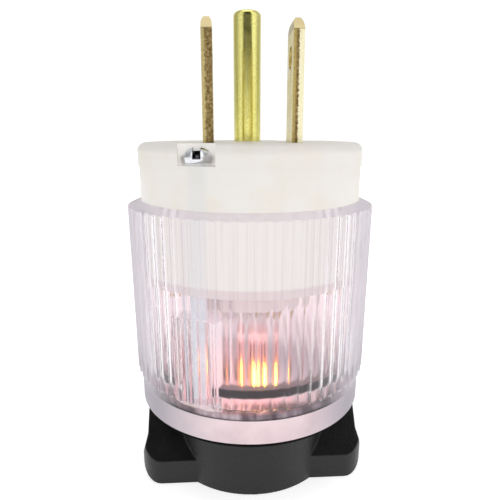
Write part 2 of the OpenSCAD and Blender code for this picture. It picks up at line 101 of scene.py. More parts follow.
# Heads of the long screws, and the closed back of their recess
HEAD_H = 2.35 * MM
SLOT_W = 0.99 * MM
SLOT_DEPTH = 0.6 * HEAD_H
SLOT_Z = SCREW_HIGH.z - SLOT_DEPTH  # floor of the recess
CORE_W = 1.04 * SLOT_W
CORE_L = 1.3 * MM
CORE_H = 1.05 * MM
CORE_UP = 0.45 * CORE_H     # middle of the core above the recess floor
CORE_IN = 0.15 * MM     # from the screw's middle to the core
CORE_ROUND = 0.12 * MM

# Blades, cord passage, collar and lamp
BLADE_X = 6.35 * MM     # middle of a blade from the axis
TEAR_WANDER = 0.9 * MM  # how far the line of the tear strays
TEAR_RELIEF = 0.05 * MM
ROLLED_RELIEF = 0.02 * MM
EDGE_FALL = -0.5        # slope of the burnished edge
PASSAGE_R = 5.5 * MM
COLLAR_H = 1.5 * MM     # shaded collar of the end piece, below the housing
ELECTRODE_OUT = 0.9 * MM    # hot electrode from the lamp's middle
LIGHT_UP = 3.4 * MM     # middle of the glow above the lamp's foot

# Where one finish runs into the next: from and to
PAINTED_LIGHT_INSIDE = (-0.6 * MM, 0.2 * MM)    # painted light: a set tone for the nylon in the housing, ending just above the rim, from the rim
PAINTED_FOOT_SHADE = (1.0 * MM, 1.4 * MM)        # painted shade, pink with the lamp's light, on the carrier's foot, above its seat
SCREW_SHADE_STRIPE = (0.6 * MM, 1.8 * MM)     # painted shade of a long screw seen through the nylon, a cool stripe, from its middle
POCKET_WALL = (2.48 * MM, 2.6 * MM)     # painted light in a screw pocket, from the screw's middle
POCKET_FLOOR = (0.0, 0.2 * MM)          # painted light in a screw pocket, above the carrier
HEAD_WALL = (2.3 * MM, 2.4 * MM)        # head of a long screw, from its middle
HEAD_FOOT = (-0.4 * MM, -0.2 * MM)      # bright head on the dull shank, from the carrier's top
SLOT_WALL = (0.52 * SLOT_W, 0.56 * SLOT_W)  # painted shade in the recess, from the screw's middle
SLOT_FLOOR = (-0.06 * MM, 0.02 * MM)    # and from its floor
SHANK_GLOW = (-2.0 * MM, 0.0)           # lit part of the shank, from the lamp's top
BLADE_SIDES = (-1.0 * MM, 1.0 * MM)     # from the left blade, painted darker, to the right one, painted lighter as if lit from the right
TEAR_LEFT = (0.16 * MM, 0.40 * MM)      # torn inner half of a cut edge, from the blade's middle
TEAR_RIGHT = (-0.06 * MM, 0.10 * MM)
GOLDEN_EDGE = (-0.48 * MM, -0.30 * MM)  # golden corner beside the tear, right blade
BLADE_TIP = (-1.9 * MM, -1.6 * MM)      # duller tip, from the blade's top
SOFT_TOP = (0.0, 3.0 * MM)              # softer wall round the chamber, from the hub bottom
SOFT_SIDE = (8.0 * MM, 13.0 * MM)       # and from the plug axis
WALL_HAZE = (4 * MM, 9 * MM)            # far wall, from the front wall
STRIP_HAZE = (6 * MM, 14 * MM)          # painted haze on the far seal strip, from the front wall
WALL_GLOW = (5.0 * MM, 11.0 * MM)       # painted light on the far wall, pink near the lamp, from the lamp
FROST_GLOW = (5.0 * MM, 15.0 * MM)      # painted pink lamp light on the frosted band, from the lamp's front
DISC_GLOW = (6.0 * MM, 30.0 * MM)       # painted lamp light on the disc, from the lamp
DISC_LEFT = (1.0 * MM, 7.0 * MM)        # from its painted pink light on the left to lilac on the right
DISC_FRONT = (-1.0 * MM, 0.0)           # from its front, painted with light and shade, to the rest
BAND_TOP = (-0.1 * MM, 0.0)             # hazy band, from the foot of the flutes
LIGHT_TO_SHADE = (-1.0 * MM, 4.0 * MM)           # chamber floor, from painted light to painted shade
PASSAGE_WALL = (0.1 * MM, 0.2 * MM)     # lit wall, from the passage's radius
PASSAGE_LIT = (-4.0 * MM, 1.0 * MM)     # lit part of the passage, from the housing foot
SPIGOT_RIM = (-0.3 * MM, -0.1 * MM)     # rim round the disc, painted with light and shade, from the disc's bottom
GAS_FOOT = (0.8 * MM, 2.4 * MM)         # glow of the gas, above the lamp's foot
GAS_TOP = (3.4 * MM, 5.8 * MM)
GAS_SIDE = (0.3 * MM, 1.1 * MM)         # and beside the hot electrode
HOT_FOOT = (1.2 * MM, 2.5 * MM)         # hot part of an electrode, above the lamp's foot
HOT_TOP = (4.2 * MM, 5.8 * MM)
BARE_WIRE = (-2.4 * MM, -1.6 * MM)      # from the electrode to its wire, below the lamp's top
BEHIND_WALL = (1.4, 1.6)                # number of clear surfaces that the view has passed

# Viewpoint of the photograph
VIEW_DISTANCE = 78.5 * MM
VIEW_ABOVE_FACE = 1.52 * MM
VIEW_PITCH = 0.237
VIEW_TURN = 0.0593
FOCAL_PIXELS = 489.4
PICTURE_PIXELS = 500
SENSOR = 36.0
CLIP_START = 2 * MM

# Floor and light
FLOOR_SIZE = 6.0
FLOOR_DROP = 0.02 * MM
AIM_Z = 0.035           # height that the soft lights look at
GLOW_R = 1.2 * MM       # radius of the lamp's own light
SKY_ROUND = ((0.25, 0.85), (0.42, 0.75), (0.52, 0.4), (0.7, 0.45), (0.82, 0.66))  # turn and level
SKY_ABOVE = 1.6
SKY_BEHIND_CLEAR = 0.60
SKY_BACKDROP = 1.05

BLACK = (0.0, 0.0, 0.0)
WHITE = (1.0, 1.0, 1.0)


# Work on a piece, as by hand

def leave_all():
    """Nothing is selected, in object mode."""
    if bpy.context.object and bpy.context.object.mode != "OBJECT":
        bpy.ops.object.mode_set(mode="OBJECT")
    bpy.ops.object.select_all(action="DESELECT")


def take(piece):
    """Only this piece is selected, and it is the active one."""
    leave_all()
    piece.select_set(True)
    bpy.context.view_layer.objects.active = piece


def edit(piece):
    """Opens the piece in edit mode."""
    take(piece)
    bpy.ops.object.mode_set(mode="EDIT")


def pick_points(piece, wanted):
    """Selects the points of the piece in edit mode whose place the test accepts."""
    bpy.ops.mesh.select_mode(type="VERT")
    bpy.ops.mesh.select_all(action="DESELECT")
    form = bmesh.from_edit_mesh(piece.data)
    for point in form.verts:
        point.select_set(wanted(point.co))
    form.select_flush(True)
    bmesh.update_edit_mesh(piece.data)


def apply_modifier(piece, kind, **settings):
    """Adds a modifier with the given settings and applies it."""
    take(piece)
    modifier = piece.modifiers.new(kind.title(), kind)
    for name, value in settings.items():
        setattr(modifier, name, value)
    bpy.ops.object.modifier_apply(modifier=modifier.name)


def combine(piece, tool, operation):
    """Joins a tool to a piece or cuts it out, and deletes the tool."""
    apply_modifier(piece, "BOOLEAN", operation=operation, object=tool, solver="EXACT")
    take(tool)
    bpy.ops.object.delete()


def smooth(piece, degrees):
    """Smooth shading over edges up to the given angle."""
    take(piece)
    bpy.ops.object.shade_smooth_by_angle(angle=math.radians(degrees))


def coat(piece, *materials):
    """Gives a piece its finishes, one slot each."""
    piece.data.materials.clear()
    for material in materials:
        piece.data.materials.append(material)


def add_object(name, data):
    """A new object of the scene with the given mesh, light or camera."""
    holder = bpy.data.objects.new(name, data)
    bpy.context.scene.collection.objects.link(holder)
    return holder


def settle(piece, name, slot, *nodes):
    """Names a finished piece, rides it on the part and lets it stand for its nodes."""
    leave_all()
    piece.name = name
    piece.data.name = name
    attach(piece, "root")
    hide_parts(*nodes)


def merged_copy(node):
    """A copy of a node's mesh with its loose triangles joined."""
    piece = add_object(node + "_copy", NODES[node].data.copy())
    take(piece)
    bpy.ops.mesh.customdata_custom_splitnormals_clear()
    edit(piece)
    bpy.ops.mesh.select_all(action="SELECT")
    bpy.ops.mesh.remove_doubles(threshold=0.002 * MM)
    bpy.ops.object.mode_set(mode="OBJECT")
    return piece


def screw_places():
    """The two long screws' places on the plan."""
    reach = CARRIER_R - SCREW_IN
    turns = (math.radians(270 - SCREW_TURN), math.radians(90 - SCREW_TURN))
    return [(reach * math.cos(turn), reach * math.sin(turn)) for turn in turns]


def above(level, heights):
    """A range of heights, counted from a level."""
    return [level + height for height in heights]


# Finishes

def new_group(name, inputs, outputs):
    """An empty shader node group with the given values as inputs and outputs."""
    group = bpy.data.node_groups.new(name, "ShaderNodeTree")
    for label, value in inputs.items():
        socket = group.interface.new_socket(label, in_out="INPUT", socket_type="NodeSocketFloat")
        socket.default_value = value
    for label in outputs:
        group.interface.new_socket(label, in_out="OUTPUT", socket_type="NodeSocketFloat")
    return group, group.nodes.new("NodeGroupInput"), group.nodes.new("NodeGroupOutput")


class NodeWork:
    """Short ways to add and join shader nodes in one tree."""

    def __init__(self, tree, coordinate):
        self.tree = tree
        self.places = self.add("ShaderNodeTexCoord")
        self.place = self.places.outputs[coordinate]

    def add(self, kind, **settings):
        node = self.tree.nodes.new(kind)
        for label, value in settings.items():
            setattr(node, label, value)
        return node

    def join(self, source, target):
        self.tree.links.new(source, target)

    def feed(self, source, socket):
        """Gives a socket a link, a colour or a plain value."""
        if isinstance(source, bpy.types.NodeSocket):
            self.join(source, socket)
        elif isinstance(source, tuple):
            socket.default_value = (*source, 1.0)
        else:
            socket.default_value = source

    def group(self, group, **values):
        node = self.add("ShaderNodeGroup", node_tree=group)
        for label, value in values.items():
            node.inputs[label.replace("_", " ")].default_value = value
        return node

    def cloud(self, vector, scale, detail, roughness=0.5):
        """Noise over a vector, at a scale that is a socket or a value."""
        node = self.add("ShaderNodeTexNoise")
        self.join(vector, node.inputs["Vector"])
        self.feed(scale, node.inputs["Scale"])
        node.inputs["Detail"].default_value = detail
        node.inputs["Roughness"].default_value = roughness
        return node.outputs["Fac"]

    def noise(self, size, detail=3.0, roughness=0.55):
        """Noise with features of about the given size in metres."""
        return self.cloud(self.place, 1.0 / size, detail, roughness)

    def ramp(self, source, *stops):
        """Colours along a value: stops are (position, colour)."""
        node = self.add("ShaderNodeValToRGB")
        marks = node.color_ramp.elements
        while len(marks) < len(stops):
            marks.new(0.5)
        for mark, (position, colour) in zip(marks, stops):
            mark.position = position
            mark.color = (*colour, 1.0)
        self.join(source, node.inputs["Fac"])
        return node.outputs["Color"]

    def between(self, source, low, high, to_low=0.0, to_high=1.0):
        """A value carried smoothly from one range to another."""
        node = self.add("ShaderNodeMapRange", interpolation_type="SMOOTHSTEP")
        labels = ("From Min", "From Max", "To Min", "To Max")
        for label, value in zip(labels, (low, high, to_low, to_high)):
            node.inputs[label].default_value = value
        self.join(source, node.inputs["Value"])
        return node.outputs["Result"]

    def fade(self, source, low, high):
        """1 below a range and 0 above it."""
        return self.between(source, low, high, 1.0, 0.0)

    def mix(self, mask, first, second, way="MIX"):
        """Two colours mixed by a mask: each is a socket or a colour."""
        node = self.add("ShaderNodeMix", data_type="RGBA", blend_type=way)
        self.feed(mask, node.inputs["Factor"])
        self.feed(first, node.inputs["A"])
        self.feed(second, node.inputs["B"])
        return node.outputs["Result"]

    def blend(self, mask, first, second):
        """Two plain values mixed by a mask."""
        node = self.add("ShaderNodeMix")
        self.feed(mask, node.inputs["Factor"])
        self.feed(first, node.inputs["A"])
        self.feed(second, node.inputs["B"])
        return node.outputs["Result"]

    def math(self, operation, first, second=None):
        node = self.add("ShaderNodeMath", operation=operation)
        self.feed(first, node.inputs[0])
        if second is not None:
            self.feed(second, node.inputs[1])
        return node.outputs["Value"]

    def times(self, first, second):
        return self.math("MULTIPLY", first, second)

    def size_of(self, value):
        return self.math("ABSOLUTE", value)

    def part(self, vector, which):
        node = self.add("ShaderNodeSeparateXYZ")
        self.join(vector, node.inputs["Vector"])
        return node.outputs[which]

    def axis(self, which):
        """The place along one axis."""
        return self.part(self.place, which)

    def normal(self, which):
        """One part of the way that the surface faces."""
        return self.part(self.places.outputs["Normal"], which)

    def beside(self, x):
        """Distance from an upright plane across the plug."""
        return self.size_of(self.math("SUBTRACT", self.axis("X"), x))

    def plan(self):
        """The place seen from above, as a vector from the plug axis."""
        node = self.add("ShaderNodeVectorMath", operation="MULTIPLY")
        node.inputs[1].default_value = (1, 1, 0)
        self.join(self.place, node.inputs[0])
        return node.outputs["Vector"]

    def outward(self):
        """The way out from the plug axis."""
        node = self.add("ShaderNodeVectorMath", operation="NORMALIZE")
        self.join(self.plan(), node.inputs[0])
        return node.outputs["Vector"]

    def distance(self, vector, point):
        node = self.add("ShaderNodeVectorMath", operation="DISTANCE")
        node.inputs[1].default_value = point
        self.join(vector, node.inputs[0])
        return node.outputs["Value"]

    def away(self, point):
        """Distance from a point."""
        return self.distance(self.place, point)

    def away_in_plan(self, x, y):
        """Distance from an upright line."""
        return self.distance(self.plan(), (x, y, 0))


class Finish(NodeWork):
    """A material with its Principled shader."""

    def __init__(self, name, **sockets):
        self.material = bpy.data.materials.new(name)
        self.material.use_nodes = True
        super().__init__(self.material.node_tree, "Object")
        self.shader = self.tree.nodes["Principled BSDF"]
        for label, value in sockets.items():
            self.shader.inputs[label.replace("_", " ")].default_value = value

    def bump(self, height, depth, strength):
        """Relief of the given depth in metres, on the shader's normal."""
        node = self.add("ShaderNodeBump")
        node.inputs["Distance"].default_value = depth
        node.inputs["Strength"].default_value = strength
        self.join(height, node.inputs["Height"])
        self.join(node.outputs["Normal"], self.shader.inputs["Normal"])

    def set(self, label, source):
        self.join(source, self.shader.inputs[label])

    def edge_on(self, normal=None):
        """Grows from 0 on a surface that faces the view to 1 on one seen edge-on."""
        node = self.add("ShaderNodeLayerWeight")
        if normal is not None:
            self.join(normal, node.inputs["Normal"])
        return node.outputs["Facing"]

    def seen_across(self, near, far, least=0.0, most=1.0):
        """Grows with the way that the light has come through the chamber, behind the front wall."""
        path = self.add("ShaderNodeLightPath")
        depth = self.between(path.outputs["Ray Length"], near, far, least, most)
        return self.times(self.between(path.outputs["Transmission Depth"], *BEHIND_WALL), depth)


def axial_lines():
    """Drawn lines along the plug axis, and slow patches."""
    group, entry, leave = new_group(
        "drawn_lines", {"Fineness": 9000.0, "Length": 0.02}, ("Lines", "Patches"))
    work = NodeWork(group, "Object")
    drawn = work.add("ShaderNodeCombineXYZ")
    work.join(work.axis("X"), drawn.inputs["X"])
    work.join(work.axis("Y"), drawn.inputs["Y"])
    work.join(work.times(work.axis("Z"), entry.outputs["Length"]), drawn.inputs["Z"])
    lines = work.cloud(drawn.outputs["Vector"], entry.outputs["Fineness"], 4.0)
    work.join(lines, leave.inputs["Lines"])
    work.join(work.cloud(work.place, 350.0, 3.0), leave.inputs["Patches"])
    return group


def moulded_grain():
    """Spark-eroded mould texture: a relief of fine grain and a slow mottle."""
    group, entry, leave = new_group("moulded_grain", {"Fineness": 4000.0}, ("Relief", "Mottle"))
    work = NodeWork(group, "Object")
    work.join(work.cloud(work.place, entry.outputs["Fineness"], 5.0, 0.65), leave.inputs["Relief"])
    work.join(work.cloud(work.place, 220.0, 4.0), leave.inputs["Mottle"])
    return group


LINES = axial_lines()
GRAIN = moulded_grain()


def cream_nylon(name, shade):
    """Off-white nylon, a little see-through: painted shade where the steel screws show through as faint
    cool stripes and on the carrier's foot, painted light in the screw pockets and inside the housing.
    """
    finish = Finish(
        name, IOR=1.53, Subsurface_Weight=0.12, Subsurface_Scale=0.002, Emission_Strength=1.0)
    finish.shader.inputs["Subsurface Radius"].default_value = (1.0, 0.8, 0.6)
    grain = finish.group(GRAIN, Fineness=2600.0)
    height = finish.axis("Z")
    warm = tuple(value * factor for value, factor in zip(shade, (0.985, 0.965, 0.92)))
    colour = finish.mix(finish.between(grain.outputs["Mottle"], 0.35, 0.7), shade, warm)
    # painted light: inside the housing the nylon gets a set tone that makes up for light the clear wall
    # holds back
    inside = finish.fade(height, *above(SHELL_HIGH.z - RIM_RISE, PAINTED_LIGHT_INSIDE))
    colour = finish.mix(inside, colour, (0.86, 0.845, 0.805))
    # painted shade under the carrier's hub, tinted pink as by the lamp
    foot = finish.fade(height, *above(SEAT_Z, PAINTED_FOOT_SHADE))
    colour = finish.mix(foot, colour, (0.76, 0.68, 0.68))
    painted_light = 0.0
    for x, y in screw_places():
        same_side = finish.between(finish.math("DIVIDE", finish.axis("Y"), y), 0.2, 0.3)
        # painted shade: a cool stripe where the screw shows through the nylon
        stripe = finish.times(finish.between(finish.beside(x), *SCREW_SHADE_STRIPE, 0.32, 0.0), same_side)
        colour = finish.mix(stripe, colour, (0.70, 0.74, 0.76))
        # painted light: the screw pocket's walls are made paler and given an emission
        pocket = finish.times(
            finish.fade(finish.away_in_plan(x, y), *POCKET_WALL),
            finish.between(height, *above(CARRIER_HIGH.z, POCKET_FLOOR)))
        colour = finish.mix(pocket, colour, (1.0, 0.97, 0.93))
        painted_light = finish.math("MAXIMUM", pocket, painted_light)
    finish.set("Base Color", colour)
    finish.set("Emission Color", finish.mix(painted_light, BLACK, (0.22, 0.213, 0.203)))
    finish.set("Roughness", finish.between(grain.outputs["Mottle"], 0.3, 0.75, 0.36, 0.5))
    finish.bump(grain.outputs["Relief"], depth=0.01 * MM, strength=0.35)
    return finish.material


def bright_brass():
    """Drawn, polished brass of the round pin."""
    finish = Finish("bright_brass", Metallic=1.0)
    lines = finish.group(LINES, Fineness=2200.0, Length=0.03)
    colour = finish.ramp(lines.outputs["Lines"], (0.3, (0.82, 0.74, 0.18)), (0.7, (0.98, 0.94, 0.36)))
    speckle = finish.noise(0.16 * MM, detail=4, roughness=0.7)
    dots = finish.ramp(speckle, (0.36, (0.72, 0.68, 0.56)), (0.52, WHITE))
    finish.set("Base Color", finish.mix(1.0, colour, dots, "MULTIPLY"))
    finish.set("Roughness", finish.between(lines.outputs["Patches"], 0.3, 0.75, 0.16, 0.26))
    relief = finish.math("ADD", lines.outputs["Lines"], finish.times(speckle, 0.5))
    finish.bump(relief, depth=0.02 * MM, strength=0.45)
    return finish.material


def sheared_brass():
    """Stamped brass blades: smooth wide sides, cut edges torn on the inner half and burnished outside,
    the right blade's edge painted lighter and the left one's darker as if lit from the right.
    """
    finish = Finish("sheared_brass", Metallic=1.0)
    edge = finish.between(finish.size_of(finish.normal("Y")), 0.8, 0.95)
    lines = finish.group(LINES, Fineness=1500.0, Length=0.06)
    tear = finish.noise(0.4 * MM, detail=6, roughness=0.75)
    wander = finish.times(finish.math("SUBTRACT", tear, 0.5), TEAR_WANDER)
    across = finish.math("SUBTRACT", finish.size_of(finish.axis("X")), BLADE_X)
    ragged = finish.math("ADD", across, wander)
    right = finish.between(finish.axis("X"), *BLADE_SIDES)
    outer = finish.blend(
        right, finish.between(ragged, *TEAR_LEFT), finish.between(ragged, *TEAR_RIGHT))
    torn = finish.ramp(
        tear, (0.32, (0.12, 0.07, 0.02)), (0.5, (0.36, 0.25, 0.10)), (0.66, (0.72, 0.56, 0.28)))
    golden = finish.ramp(tear, (0.3, (0.52, 0.36, 0.10)), (0.7, (0.84, 0.68, 0.28)))
    torn = finish.mix(finish.times(finish.fade(ragged, *GOLDEN_EDGE), right), torn, golden)
    dull = finish.ramp(tear, (0.3, (0.50, 0.39, 0.16)), (0.7, (0.74, 0.63, 0.30)))
    bright = finish.ramp(tear, (0.3, (0.90, 0.80, 0.46)), (0.7, (1.0, 0.97, 0.74)))
    # painted light: the right blade's burnished edge is lighter than the left one's, as if lit from the
    # right
    burnished = finish.mix(right, dull, bright)
    rolled = finish.ramp(lines.outputs["Lines"], (0.3, (0.78, 0.68, 0.34)), (0.7, (0.92, 0.86, 0.56)))
    colour = finish.mix(edge, rolled, finish.mix(outer, torn, burnished))
    tip = finish.between(finish.axis("Z"), *above(BLADE_HIGH.z, BLADE_TIP))
    finish.set("Base Color", finish.mix(tip, colour, (0.50, 0.41, 0.22)))
    smooth_side = finish.between(lines.outputs["Patches"], 0.3, 0.75, 0.2, 0.34)
    cut_side = finish.blend(outer, finish.between(tear, 0.3, 0.7, 0.62, 0.48), 0.34)
    finish.set("Roughness", finish.blend(edge, smooth_side, cut_side))
    fall = finish.times(finish.math("MAXIMUM", across, 0.0), EDGE_FALL)
    cut = finish.math("ADD", fall, finish.times(tear, TEAR_RELIEF))
    plain = finish.times(lines.outputs["Lines"], ROLLED_RELIEF)
    finish.bump(finish.blend(edge, plain, cut), depth=1.0, strength=0.8)
    return finish.material


def plated_metal(name, dark, light, rough):
    """Plated or turned metal of the small hardware."""
    finish = Finish(name, Metallic=1.0)
    cloud = finish.noise(1.2 * MM, detail=4)
    finish.set("Base Color", finish.ramp(cloud, (0.3, dark), (0.7, light)))
    finish.set("Roughness", finish.between(cloud, 0.3, 0.7, *rough))
    return finish.material


def long_screw_plate():
    """Bright nickel on the heads, dull pale zinc on their shanks, painted shade in the recess and a
    painted pink reflection of the lamp on the shanks.
    """
    finish = Finish("long_screw_plate", Emission_Strength=1.0)
    cloud = finish.noise(1.2 * MM, detail=4)
    height = finish.axis("Z")
    head = finish.between(height, *above(CARRIER_HIGH.z, HEAD_FOOT))
    bright = finish.ramp(cloud, (0.3, (0.64, 0.65, 0.68)), (0.7, (0.84, 0.85, 0.88)))
    dull = finish.ramp(cloud, (0.3, (0.70, 0.74, 0.78)), (0.7, (0.80, 0.83, 0.87)))
    colour = finish.mix(head, dull, bright)
    above_floor = finish.between(height, *above(SLOT_Z, SLOT_FLOOR))
    # painted shade: the recess of each head is painted near black
    for x, y in screw_places():
        painted_slot_shade = finish.times(above_floor, finish.fade(finish.beside(x), *SLOT_WALL))
        here = finish.fade(finish.away_in_plan(x, y), *HEAD_WALL)
        colour = finish.mix(finish.times(painted_slot_shade, here), colour, (0.10, 0.10, 0.12))
    finish.set("Base Color", colour)
    toward_lamp = finish.between(finish.normal("X"), 0.1, 0.8)
    reflection = finish.times(toward_lamp, finish.fade(height, *above(LAMP_HIGH.z, SHANK_GLOW)))
    finish.set("Emission Color", finish.mix(reflection, BLACK, (0.60, 0.15, 0.16)))
    finish.set("Metallic", finish.between(head, 0.0, 1.0, 0.2, 1.0))
    finish.set("Roughness", finish.between(head, 0.0, 1.0, 0.5, 0.06))
    return finish.material


def shadowless(finish, tint, surface=None):
    """Lets lamp and studio light pass straight through a clear wall to what is behind it."""
    path = finish.add("ShaderNodeLightPath")
    through = finish.add("ShaderNodeBsdfTransparent")
    through.inputs["Color"].default_value = (*tint, 1.0)
    shown = surface or finish.shader.outputs["BSDF"]
    for ray in ("Is Diffuse Ray", "Is Shadow Ray"):
        choose = finish.add("ShaderNodeMixShader")
        finish.join(path.outputs[ray], choose.inputs["Fac"])
        finish.join(shown, choose.inputs[1])
        finish.join(through.outputs["BSDF"], choose.inputs[2])
        shown = choose.outputs["Shader"]
    finish.join(shown, finish.tree.nodes["Material Output"].inputs["Surface"])


def hazy(finish, amount, colour, lit, glow):
    """The clear shader under a pale veil of the given amount, with painted lamp light given off from
    within the veil.
    """
    veil = finish.add("ShaderNodeBsdfDiffuse")
    finish.feed(colour, veil.inputs["Color"])
    painted_glow = finish.add("ShaderNodeEmission")
    finish.feed(glow, painted_glow.inputs["Color"])
    finish.join(lit, painted_glow.inputs["Strength"])
    veil_and_painted_glow = finish.add("ShaderNodeAddShader")
    finish.join(veil.outputs["BSDF"], veil_and_painted_glow.inputs[0])
    finish.join(painted_glow.outputs["Emission"], veil_and_painted_glow.inputs[1])
    both = finish.add("ShaderNodeMixShader")
    finish.join(amount, both.inputs["Fac"])
    finish.join(finish.shader.outputs["BSDF"], both.inputs[1])
    finish.join(veil_and_painted_glow.outputs["Shader"], both.inputs[2])
    return both.outputs["Shader"]


def housing_haze(finish):
    """The clear wall, hazy on its far side, on the band and where it turns away, with painted light on
    its far side, pink near the lamp.
    """
    far_wall = finish.seen_across(*WALL_HAZE, 0.55, 0.88)
    band = finish.between(finish.axis("Z"), *above(FLUTE_LOW, BAND_TOP), 0.02, 0.0)
    side = finish.between(finish.edge_on(finish.outward()), 0.32, 0.85, 0.0, 0.72)
    veil = finish.math("MAXIMUM", finish.math("MAXIMUM", far_wall, band), side)
    # painted light: the far wall's veil gives off light, pink near the lamp
    painted_lamp_light = finish.fade(finish.away(LAMP_MIDDLE), *WALL_GLOW)
    lit = finish.times(far_wall, finish.blend(painted_lamp_light, 0.52, 0.9))
    glow = finish.mix(painted_lamp_light, (1.0, 0.91, 0.93), (1.0, 0.50, 0.52))
    return hazy(finish, veil, (0.70, 0.655, 0.71), lit, glow)


def clear_plastic():
    """Clear housing plastic, lilac where it is seen edge-on and softer round the chamber."""
    finish = Finish("clear_plastic", IOR=1.42, Transmission_Weight=1.0, Specular_IOR_Level=0.25)
    finish.shader.inputs["Specular Tint"].default_value = (0.70, 0.66, 0.72, 1.0)
    cloud = finish.noise(3.0 * MM, detail=4)
    tint = finish.ramp(
        finish.edge_on(),
        (0.25, (1.0, 0.99, 0.99)), (0.55, (0.90, 0.87, 0.90)), (0.9, (0.78, 0.73, 0.79)))
    lines = finish.group(LINES, Fineness=1900.0, Length=0.006).outputs["Lines"]
    faint = finish.ramp(lines, (0.38, (0.92, 0.895, 0.915)), (0.50, WHITE))
    tint = finish.mix(1.0, tint, faint, "MULTIPLY")
    clouding = finish.between(cloud, 0.3, 0.7, 0.0, 0.2)
    finish.set("Base Color", finish.mix(clouding, tint, (0.97, 0.95, 0.97)))
    below_hub = finish.fade(finish.axis("Z"), *above(CARRIER_LOW.z, SOFT_TOP))
    chamber = finish.times(below_hub, finish.fade(finish.size_of(finish.axis("X")), *SOFT_SIDE))
    fine = finish.between(cloud, 0.3, 0.75, 0.10, 0.14)
    finish.set("Roughness", finish.blend(chamber, fine, 0.25))
    shadowless(finish, (1.0, 0.995, 1.0), housing_haze(finish))
    return finish.material


def frosted_plastic():
    """The sand-blasted part of the band: pale lilac, with painted shade where it turns edge-on and
    painted pink lamp light in front.
    """
    finish = Finish("frosted_plastic", IOR=1.5, Transmission_Weight=0.12, Emission_Strength=0.24)
    grain = finish.group(GRAIN, Fineness=3000.0)
    colour = finish.ramp(grain.outputs["Mottle"], (0.3, (0.57, 0.52, 0.56)), (0.7, (0.77, 0.71, 0.75)))
    # painted shade: darker where the band turns edge-on
    colour = finish.mix(finish.between(finish.edge_on(), 0.15, 0.7), colour, (0.44, 0.40, 0.46))
    finish.set("Base Color", colour)
    finish.set("Roughness", finish.between(grain.outputs["Mottle"], 0.3, 0.75, 0.45, 0.6))
    # painted light: the lamp's pink as emission on the band in front
    lamp_front = (LAMP_MIDDLE.x, LAMP_LOW.y, LAMP_LOW.z)
    near = finish.fade(finish.away(lamp_front), *FROST_GLOW)
    finish.set("Emission Color", finish.mix(near, BLACK, (1.0, 0.52, 0.52)))
    finish.bump(grain.outputs["Relief"], depth=0.03 * MM, strength=0.4)
    shadowless(finish, (0.95, 0.92, 0.94))
    return finish.material


def satin_plastic():
    """The moulded rim of the housing: satin lilac."""
    finish = Finish("satin_plastic", IOR=1.48, Transmission_Weight=0.72)
    cloud = finish.noise(1.2 * MM, detail=4)
    finish.set("Base Color", finish.ramp(cloud, (0.3, (0.80, 0.74, 0.80)), (0.7, (0.88, 0.83, 0.88))))
    finish.set("Roughness", finish.between(cloud, 0.3, 0.7, 0.3, 0.4))
    shadowless(finish, (1.0, 0.99, 1.0))
    return finish.material


def painted_light_and_shade_edge(finish):
    """Streaked colour of the chamber floor near the front wall: painted lamp light to the left, painted
    shade to the right.
    """
    streaks = finish.group(LINES, Fineness=700.0, Length=0.25).outputs["Lines"]
    pale = finish.ramp(
        streaks, (0.36, (0.12, 0.08, 0.09)), (0.5, (0.46, 0.36, 0.39)), (0.62, (0.74, 0.64, 0.67)))
    shaded_streaks = finish.ramp(
        streaks, (0.36, (0.05, 0.04, 0.05)), (0.5, (0.20, 0.16, 0.19)), (0.66, (0.50, 0.43, 0.47)))
    return finish.mix(finish.between(finish.axis("X"), *LIGHT_TO_SHADE), pale, shaded_streaks)


def charcoal_nylon(name, ior, rough):
    """Black glass-filled nylon of the clamp with its mould texture, with painted pale lamp light in the
    cord passage and painted light and shade on the rim round the disc.
    """
    finish = Finish(name, IOR=ior)
    grain = finish.group(GRAIN, Fineness=2400.0)
    colour = finish.ramp(
        grain.outputs["Relief"], (0.3, (0.001, 0.001, 0.001)), (0.75, (0.004, 0.0038, 0.0035)))
    height = finish.axis("Z")
    # painted light: the lamp's pink on the wall of the cord passage
    passage = finish.times(
        finish.fade(finish.away_in_plan(0, 0), *above(PASSAGE_R, PASSAGE_WALL)),
        finish.between(height, *above(SHELL_LOW.z, PASSAGE_LIT)))
    colour = finish.mix(passage, colour, (0.80, 0.62, 0.64))
    # painted light and shade on the rim round the disc
    rim = finish.between(height, *above(DISC_LOW.z, SPIGOT_RIM))
    finish.set("Base Color", finish.mix(rim, colour, painted_light_and_shade_edge(finish)))
    finish.set("Roughness", finish.between(grain.outputs["Mottle"], 0.3, 0.75, *rough))
    finish.bump(grain.outputs["Relief"], depth=0.12 * MM, strength=0.7)
    return finish.material


def black_rubber():
    """Black rubber, with painted light on its top faces and painted haze where it is seen across the lit
    chamber.
    """
    finish = Finish("black_seal_rubber", IOR=1.45)
    cloud = finish.noise(0.8 * MM, detail=4)
    dark = finish.ramp(cloud, (0.3, (0.004, 0.004, 0.004)), (0.7, (0.010, 0.009, 0.010)))
    # painted light: the top faces are paler and pink, as lit from above and by the lamp
    dark = finish.mix(finish.between(finish.normal("Z"), 0.5, 0.8), dark, (0.34, 0.26, 0.28))
    finish.set("Base Color", finish.mix(finish.seen_across(*STRIP_HAZE), dark, (0.74, 0.66, 0.69)))
    finish.set("Roughness", finish.between(cloud, 0.3, 0.7, 0.45, 0.7))
    return finish.material


